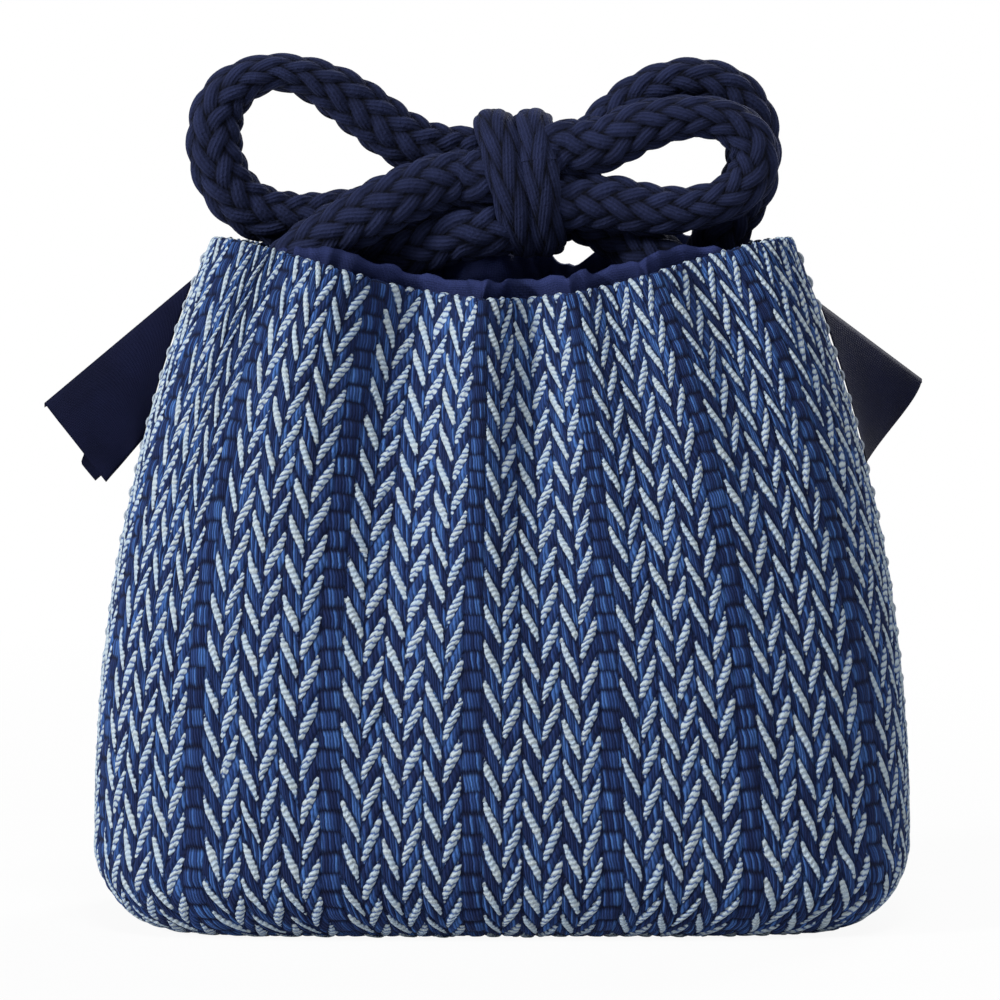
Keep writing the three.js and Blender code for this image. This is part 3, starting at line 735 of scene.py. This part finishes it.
def pull_tab(name, node, side, below_rim, droop, swing, twist):
    """A strip of cotton folded along its upper edge, with two leaves that part towards the end."""
    top = BODY_HEIGHT - below_rim
    slope = math.radians(droop)
    seam_top = half_width_at(top) + CLEARANCE
    width = np.linspace(0, 1, TAB_STEPS + 1)[1:]
    turn = np.radians(swing + twist * width**TWIST_POWER)
    fold_turn = math.radians(swing)
    seam_z = top - TAB_SEAM_LENGTH * width
    seam_x = np.array([half_width_at(z) for z in seam_z]) + CLEARANCE
    columns = []
    for station in range(TAB_STATIONS + 1):
        length = station / TAB_STATIONS
        end_x = seam_top + TAB_LENGTH * math.cos(slope) - TAB_WIDTH * width * math.sin(slope)
        end_z = top - TAB_LENGTH * math.sin(slope) - TAB_WIDTH * width * math.cos(slope)
        z = lerp(seam_z, end_z, length)
        fold_out = TAB_LENGTH * math.cos(slope) * length
        fold_z = top - TAB_LENGTH * math.sin(slope) * length
        bow = TAB_BOW * math.sin(length * math.pi) * np.sin(width * math.pi)
        crumple = TAB_CRUMPLE * soft_noise(length * 3.2 + width * 1.4, width * 2.2 + length * 2, 51 + side)
        skins = []
        for leaf in (-1, 1):
            beyond = smooth((width - REAR_LEAF_FROM) / REAR_LEAF_FADE) * (leaf > 0)
            further = REAR_LEAF_REACH * length * beyond
            out = (end_x - seam_x) * length + further
            apart = (CLEARANCE + TAB_SPLAY * length**2) / 2 * width
            for depth in (TAB_CLOTH, 0):
                thick = depth * np.minimum(1, np.sqrt(width * 5))
                y = leaf * (apart + thick + 0.25 * bow) + crumple * width + out * np.sin(turn)
                skins.append(np.stack([side * (seam_x + out * np.cos(turn)), y, z], axis=1))
        fold_x = side * (seam_top + fold_out * math.cos(fold_turn))
        fold = np.array([[fold_x, fold_out * math.sin(fold_turn), fold_z]])
        inner_fold = fold - [[0, 0, TAB_CLOTH]]
        front_out, front_in, back_out, back_in = skins
        columns.append(np.vstack([front_in[::-1], inner_fold, back_in, back_out[::-1], fold, front_out]))
    points = np.array(columns)
    count, rows = points.shape[:2]
    faces = grid_faces(count, rows, joined_rows=True)
    if side > 0:
        faces = [face[::-1] for face in faces]
    for start, turned in ((0, side < 0), ((count - 1) * rows, side > 0)):
        for k in range(2 * TAB_STEPS):
            quad = [start + k, start + k + 1, start + (rows - 2 - k) % rows, start + (rows - 1 - k) % rows]
            faces.append(quad if turned else quad[::-1])
    across = np.tile(np.arange(rows) * TAB_WIDTH / TAB_STEPS, (count, 1))
    uv = np.stack([np.arange(count)[:, None] * TAB_LENGTH / TAB_STATIONS + 0 * across, across], axis=-1)
    return add_object(name, points.reshape(-1, 3), faces, uv.reshape(-1, 2))


tabs = {tab["node"]: pull_tab(**tab) for tab in TABS}

# The hand stitches along the side seams
STITCH_PITCH = 4.6
STITCH_LENGTH = 2.6
STITCH_RADIUS = 0.27
STITCH_FROM_SEAM = 2.6
STITCH_LOWEST = 20
STITCH_BELOW_RIM = 2
STITCH_SAMPLES = 7
STITCH_SIDES = 8
STITCH_SINK = 0.9
STITCH_ARCH = 2.2
STITCH_TAPER = 3.6


def seam_stitches():
    """Short pale stitches up each wall beside its seams."""
    points, faces = [], []
    for wall in (FRONT, BACK):
        for beside in (STITCH_FROM_SEAM, CLOTH_WIDTH - STITCH_FROM_SEAM):
            for height in np.arange(STITCH_LOWEST, CLOTH_HEIGHT - STITCH_BELOW_RIM, STITCH_PITCH):
                t = np.linspace(-0.5, 0.5, STITCH_SAMPLES)
                across = np.full_like(t, beside / CLOTH_WIDTH)
                line, inward, _ = wall.look_up(across, height + t * STITCH_LENGTH)
                line = line - inward * (STITCH_RADIUS * STITCH_SINK - STITCH_ARCH * t[:, None] ** 2)
                sides, ups = carried_frames(line)
                first = len(points)
                for at, side, up, share in zip(line, sides, ups, t):
                    radius = STITCH_RADIUS * math.sqrt(max(0.05, 1 - STITCH_TAPER * share**2))
                    for k in range(STITCH_SIDES):
                        angle = k / STITCH_SIDES * 2 * math.pi
                        points.append(at + radius * (math.cos(angle) * side + math.sin(angle) * up))
                quads = grid_faces(STITCH_SAMPLES, STITCH_SIDES, first, joined_rows=True)
                faces += [face[::-1] for face in quads]
                last = len(points) - 1
                faces.append(list(range(first, first + STITCH_SIDES)))
                faces.append(list(range(last, last - STITCH_SIDES, -1)))
    return add_object("side_seam_stitches", points, faces)


stitches = seam_stitches()


# Materials
class Number:
    """A number in a material's nodes that can be used in arithmetic."""

    def __init__(self, tree, socket):
        self.tree, self.socket = tree, socket

    def maths(self, operation, *others):
        node = self.tree.nodes.new("ShaderNodeMath")
        node.operation = operation
        for slot, value in zip(node.inputs, (self, *others)):
            if isinstance(value, Number):
                self.tree.links.new(value.socket, slot)
            else:
                slot.default_value = value
        return Number(self.tree, node.outputs[0])

    def __add__(self, other):
        return self.maths("ADD", other)

    def __sub__(self, other):
        return self.maths("SUBTRACT", other)

    def __mul__(self, other):
        return self.maths("MULTIPLY", other)

    def __truediv__(self, other):
        return self.maths("DIVIDE", other)

    def __pow__(self, other):
        return self.maths("POWER", other)

    def __mod__(self, other):
        return self.maths("FLOORED_MODULO", other)

    def floor(self):
        return self.maths("FLOOR")

    def size(self):
        return self.maths("ABSOLUTE")

    def below(self, other):
        return self.maths("LESS_THAN", other)

    def above(self, other):
        return self.maths("GREATER_THAN", other)

    def less(self, other):
        return self.maths("MINIMUM", other)

    def more(self, other):
        return self.maths("MAXIMUM", other)

    def wave(self):
        """From 0 to 1 and back for each whole number."""
        return (self * (2 * math.pi)).maths("COSINE") * -0.5 + 0.5

    def flipped(self):
        return self * -1 + 1


class Finish:
    """A material with a principled shader, and short ways to add nodes to it."""

    def __init__(self, name, roughness, sheen=0.0, specular=0.3):
        self.material = bpy.data.materials.new(name)
        self.material.use_nodes = True
        self.tree = self.material.node_tree
        self.shader = self.tree.nodes["Principled BSDF"]
        self.shader.inputs["Roughness"].default_value = roughness
        self.shader.inputs["Specular IOR Level"].default_value = specular
        self.shader.inputs["Sheen Weight"].default_value = sheen
        self.shader.inputs["Sheen Roughness"].default_value = 0.45
        self.shader.inputs["Sheen Tint"].default_value = (0.25, 0.32, 0.75, 1)

    def link(self, source, target):
        self.tree.links.new(source.socket if isinstance(source, Number) else source, target)

    def uv(self):
        node = self.tree.nodes.new("ShaderNodeUVMap")
        node.uv_map = "weave"
        split = self.tree.nodes.new("ShaderNodeSeparateXYZ")
        self.link(node.outputs[0], split.inputs[0])
        return Number(self.tree, split.outputs[0]), Number(self.tree, split.outputs[1])

    def place(self):
        """Where a point is on the object, in metres."""
        return self.tree.nodes.new("ShaderNodeTexCoord").outputs["Object"]

    def vector(self, x, y, z=0.0):
        node = self.tree.nodes.new("ShaderNodeCombineXYZ")
        for slot, value in zip(node.inputs, (x, y, z)):
            if isinstance(value, Number):
                self.link(value, slot)
            else:
                slot.default_value = value
        return node.outputs[0]

    def noise(self, vector, scale, detail=2.0):
        node = self.tree.nodes.new("ShaderNodeTexNoise")
        node.inputs["Scale"].default_value = scale
        node.inputs["Detail"].default_value = detail
        self.link(vector, node.inputs["Vector"])
        return Number(self.tree, node.outputs["Fac"])

    def chance(self, vector):
        """A random number from 0 to 1 for each vector of whole numbers."""
        node = self.tree.nodes.new("ShaderNodeTexWhiteNoise")
        self.link(vector, node.inputs["Vector"])
        return Number(self.tree, node.outputs["Value"])

    def mix(self, share, first, second, blend="MIX"):
        node = self.tree.nodes.new("ShaderNodeMix")
        node.data_type = "RGBA"
        node.blend_type = blend
        node.clamp_factor = True
        for slot, value in ((0, share), (6, first), (7, second)):
            if isinstance(value, (Number, bpy.types.NodeSocket)):
                self.link(value, node.inputs[slot])
            elif isinstance(value, tuple):
                node.inputs[slot].default_value = (*value, 1)
            else:
                node.inputs[slot].default_value = value
        return node.outputs[2]

    def colour(self, socket):
        self.link(socket, self.shader.inputs["Base Color"])

    def bump(self, height, distance_mm):
        node = self.tree.nodes.new("ShaderNodeBump")
        node.inputs["Distance"].default_value = distance_mm * MM
        self.link(height, node.inputs["Height"])
        self.link(node.outputs[0], self.shader.inputs["Normal"])


PALE_YARN = (0.46, 0.58, 0.69)
PALE_YARN_WARM = (0.54, 0.62, 0.65)
INDIGO = (0.034, 0.085, 0.29)
INDIGO_DEEP = (0.010, 0.021, 0.085)
INDIGO_BRIGHT = (0.070, 0.180, 0.50)
# Painted shade, for the gaps between the bars and the threads of the weaves
PAINTED_SHADE = (0.004, 0.006, 0.022)
RIB_PITCH = 1.15
RIB_TILT = 0.3
MIDDLE_GREY = (0.5, 0.5, 0.5)
BRAID_NAVY = (0.009, 0.012, 0.036)
BRAID_LIGHT = (0.024, 0.033, 0.095)
BRAID_PAINTED_SHADE = (0.001, 0.0015, 0.005)
THREAD_DARK = (0.28, 0.33, 0.40)
THREAD_PALE = (0.50, 0.56, 0.62)


def herringbone_finish():
    """Pale and indigo floats of yarn in V's, each of short threads, with plain columns between them."""
    finish = Finish("herringbone_cloth", roughness=0.9, sheen=0.03, specular=0.15)
    u, v = finish.uv()
    wander = finish.noise(finish.vector(u, v), 1.7) - 0.5
    v = v + wander * 0.16
    column, bar = u.floor(), v.floor()
    f, g = u - column, v - bar
    phase = (column - FIRST_PLAIN_COLUMN) % COLUMNS_PER_REPEAT
    plain = phase.below(0.5)
    falling = (phase % 2).above(0.5)
    pale = ((bar + 1 - falling) % 2).below(0.5) * plain.flipped()
    stroke_luck = finish.chance(finish.vector(column, bar, 77))
    across = ((g + stroke_luck * 0.1 - 0.05) * 2 - 1).size()
    along = (f * 2 - 1).size()
    thread = f * 6.5 + g * 0.8 + wander * 0.9
    luck = finish.chance(finish.vector(column, bar, thread.floor()))
    blue = finish.mix((luck - 0.2) * 1.5, INDIGO_DEEP, INDIGO)
    blue = finish.mix((luck - 0.7) * 2.6 + stroke_luck * 0.3, blue, INDIGO_BRIGHT)
    leaning = (f - 0.5) * (falling * -2 + 1) * STROKE_HEIGHT
    level = v * BAR_PITCH + leaning - f * COLUMN_WIDTH * RIB_TILT
    ribs = level / RIB_PITCH + wander * 0.8
    rib = ribs.wave()
    rib_luck = finish.chance(finish.vector(column, ribs.floor(), 5))
    white = finish.mix(rib_luck * 0.8, PALE_YARN, PALE_YARN_WARM)
    rib_gap = (rib.flipped() ** 3) * (falling * -0.6 + 0.95)
    white = finish.mix(rib_gap, white, INDIGO)
    reach = rib * (falling * -0.14 + 0.24) + rib_luck * 0.2 + (falling * -0.08 + 0.58)
    reach = reach - ((along - 0.62 - rib_luck * 0.16) * 3.2).more(0)
    pale_edge = ((across - reach) * 5).more(0).less(1)
    cloth = finish.mix(pale * pale_edge.flipped(), blue, white)
    # Painted shade at the bars' edges, at the floats' ends, on the pale bars beyond each stroke and between
    # the threads
    beyond = ((across - reach) * 4).more(0).less(1) * pale
    gap = ((across - 0.6) * 2.8).more(0).less(1) * pale.flipped() * (plain * 0.3 + 0.7)
    end = ((along - 0.82) * 5).more(0).less(1)
    cloth = finish.mix((gap + end * 0.5 + beyond * 0.65).less(1) * 0.9, cloth, PAINTED_SHADE)
    thread_gap = (thread.wave().flipped() ** 3) * pale.flipped()
    cloth = finish.mix(thread_gap * 0.7, cloth, PAINTED_SHADE)
    fuzz = finish.noise(finish.place(), 2600, 3.0)
    cloth = finish.mix(fuzz * 0.6, cloth, MIDDLE_GREY, "SOFT_LIGHT")
    finish.colour(cloth)
    height = thread.wave() * pale.flipped() * 0.6 + rib * pale * 0.7 + fuzz * 0.4
    finish.bump(height, 0.32)
    return finish.material


def cotton_finish(name, colour, bright, threads_per_mm, roughness, specular):
    """Plain woven cotton with fine threads both ways, slubs and creases."""
    finish = Finish(name, roughness=roughness, specular=specular)
    u, v = finish.uv()
    warp = (u * threads_per_mm).wave()
    weft = (v * threads_per_mm).wave()
    over = ((u * threads_per_mm).floor() + (v * threads_per_mm).floor()) % 2
    weave = warp * over + weft * over.flipped()
    mottle = finish.noise(finish.place(), 90, 4.0)
    fine = finish.noise(finish.place(), 1400, 2.0)
    base = finish.mix((mottle - 0.35) * 2.2, colour, bright)
    # Painted shade in the gaps between the threads
    base = finish.mix(weave.flipped() * 0.35, base, PAINTED_SHADE)
    finish.colour(base)
    finish.bump(weave * 0.5 + fine * 0.6 + mottle * 1.4, 0.12)
    return finish.material


def braid_finish():
    """Navy cotton braid: strands of fine plied threads, painted shade where they go under, at their edges and
    between plies, a little fuzz.
    """
    finish = Finish("braided_cord", roughness=0.92, sheen=0.06, specular=0.12)
    u, v = finish.uv()
    one_way, other_way = u + v, u - v
    cell = (one_way.floor() + other_way.floor()) % 4
    first = cell.below(1.5)
    across = (one_way % 1) * first + (other_way % 1) * first.flipped()
    along = ((cell + other_way % 1) * first + (cell - 2 + one_way % 1) * first.flipped()) * 0.5
    ply = (across * 4 + along * 1.6).wave()
    rim = (across * 2 - 1).size() ** 3
    dive = (along * 2 - 1).size() ** 4
    fuzz = finish.noise(finish.place(), 1500, 3.0)
    mottle = finish.noise(finish.place(), 160, 2.0)
    base = finish.mix(mottle, BRAID_NAVY, BRAID_LIGHT)
    # Painted shade between the plies, along the strands' edges and where they go under
    base = finish.mix(ply.flipped() * 0.3 + rim * 0.6 + dive * 0.7, base, BRAID_PAINTED_SHADE)
    base = finish.mix(fuzz * 0.7, base, MIDDLE_GREY, "SOFT_LIGHT")
    finish.colour(base)
    finish.bump(ply * 0.3 + fuzz * 1.1, 0.35)
    return finish.material


def thread_finish():
    """Pale sewing thread with its twist."""
    finish = Finish("sewing_thread", roughness=0.7, sheen=0.2)
    twist = finish.noise(finish.place(), 3000, 1.0)
    finish.colour(finish.mix(twist, THREAD_DARK, THREAD_PALE))
    finish.bump(twist, 0.05)
    return finish.material


def seen_rays(tree):
    """1 for a ray from the camera or one by way of a mirror or a glass, and 0 for the rest."""
    rays = tree.nodes.new("ShaderNodeLightPath")
    seen = Number(tree, rays.outputs["Is Camera Ray"]).more(Number(tree, rays.outputs["Is Glossy Ray"]))
    return seen.more(Number(tree, rays.outputs["Is Transmission Ray"]))


def backdrop_finish(name, near_share):
    """A pale surface that looks white to the camera and keeps a soft shadow near the object."""
    finish = Finish(name, roughness=1.0, specular=0.0)
    finish.shader.inputs["Base Color"].default_value = (0.8, 0.8, 0.8, 1)
    tree = finish.tree
    glow = tree.nodes.new("ShaderNodeEmission")
    away = tree.nodes.new("ShaderNodeVectorMath")
    away.operation = "LENGTH"
    finish.link(finish.place(), away.inputs[0])
    far = ((Number(tree, away.outputs["Value"]) - 0.2) * 2).more(0).less(1)
    blend = tree.nodes.new("ShaderNodeMixShader")
    finish.link(seen_rays(tree) * (far * (1 - near_share) + near_share), blend.inputs[0])
    finish.link(finish.shader.outputs[0], blend.inputs[1])
    finish.link(glow.outputs[0], blend.inputs[2])
    finish.link(blend.outputs[0], tree.nodes["Material Output"].inputs["Surface"])
    return finish.material


herringbone = herringbone_finish()
LINING_NAVY = (0.016, 0.024, 0.085)
LINING_LIGHT = (0.045, 0.062, 0.210)
TAB_NAVY = (0.0040, 0.0050, 0.0180)
TAB_LIGHT = (0.0080, 0.0100, 0.0360)
lining_cotton = cotton_finish("lining_cotton", LINING_NAVY, LINING_LIGHT, 2.4, 0.8, 0.1)
tab_cotton = cotton_finish("tab_cotton", TAB_NAVY, TAB_LIGHT, 2.6, 0.65, 0.04)
braid = braid_finish()
thread = thread_finish()

PIECES = [
    (front_cloth, herringbone, "herringbone_cloth", ["front_panel"]),
    (back_cloth, herringbone, "herringbone_cloth", ["back_panel"]),
    (bottom_cloth, herringbone, "herringbone_cloth", ["base_panel"]),
    (lining, lining_cotton, "lining_cotton", ["lining"]),
    (front_casing, lining_cotton, "lining_cotton", ["front_casing"]),
    (back_casing, lining_cotton, "lining_cotton", ["back_casing"]),
    (tabs["left_tab"], tab_cotton, "tab_cotton", ["left_tab"]),
    (tabs["right_tab"], tab_cotton, "tab_cotton", ["right_tab"]),
    (front_cord, braid, "braided_cord", ["front_cord", "right_loop"]),
    (back_cord, braid, "braided_cord", ["back_cord", "left_loop"]),
    (bow_wrap, braid, "braided_cord", ["bow_knot"]),
    (stitches, thread, "herringbone_cloth", []),
]
for piece, material, slot, nodes in PIECES:
    piece.data.materials.append(material)
    if nodes:
        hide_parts(*nodes)
    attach(piece, BODY)


def declare_cord(line, run):
    """Works out a cord's first point, its length and its points in metres, and keeps none of them."""
    line[0] * MM
    run[-1] * MM
    line * MM


declare_cord(front_line, front_run)
declare_cord(back_line, back_run)
declare_cord(wrap_line, wrap_run)

# Camera, light and floor
VIEW_ELEVATION = 3
CAMERA_DISTANCE = 0.9
FRAME_WIDTH = 0.1976
SENSOR = 36
LOOK_AT = Vector((-0.0004, 0, 0.0821))
LIGHT_AIM = Vector((0, 0, 0.08))
WORLD_STRENGTH = 0.08
FLOOR_HALF = 3.0
FLOOR_WHITE_SHARE = 0.93

# Area lights: name, place, size and watts
LIGHTS = [
    ("key", (-0.9, -0.5, 0.5), 0.2, 9.5),
    ("top", (0.05, -0.45, 0.95), 0.3, 4.6),
    ("rear", (0.45, 0.85, 0.6), 0.4, 7),
]


def add_camera():
    data = bpy.data.cameras.new("camera")
    data.sensor_width = SENSOR
    data.lens = SENSOR * CAMERA_DISTANCE / FRAME_WIDTH
    camera = bpy.data.objects.new("camera", data)
    elevation = math.radians(VIEW_ELEVATION)
    back = Vector((0, -math.cos(elevation), math.sin(elevation)))
    camera.location = LOOK_AT + back * CAMERA_DISTANCE
    camera.rotation_euler = (-back).to_track_quat("-Z", "Y").to_euler()
    bpy.context.scene.collection.objects.link(camera)
    bpy.context.scene.camera = camera


def add_area_light(name, position, size, watts):
    data = bpy.data.lights.new(name, "AREA")
    data.size = size
    data.energy = watts
    light = bpy.data.objects.new(name, data)
    light.location = position
    aim = LIGHT_AIM - light.location
    light.rotation_euler = aim.to_track_quat("-Z", "Y").to_euler()
    bpy.context.scene.collection.objects.link(light)


def add_world(strength):
    """Even light all round, and white where the camera looks straight at it."""
    world = bpy.data.worlds.new("studio")
    world.use_nodes = True
    bpy.context.scene.world = world
    tree = world.node_tree
    background = tree.nodes["Background"]
    background.inputs["Color"].default_value = (1, 1, 1, 1)
    white = seen_rays(tree) * (1 - strength) + strength
    tree.links.new(white.socket, background.inputs["Strength"])


def add_floor():
    half = FLOOR_HALF
    corners = [(-half, -half, 0), (half, -half, 0), (half, half, 0), (-half, half, 0)]
    mesh = bpy.data.meshes.new("floor")
    mesh.from_pydata(corners, [], [(0, 1, 2, 3)])
    mesh.materials.append(backdrop_finish("pale_floor", FLOOR_WHITE_SHARE))
    floor = bpy.data.objects.new("floor", mesh)
    bpy.context.scene.collection.objects.link(floor)


add_camera()
add_floor()
add_world(WORLD_STRENGTH)
for light_settings in LIGHTS:
    add_area_light(*light_settings)
bpy.context.scene.view_settings.view_transform = "Standard"
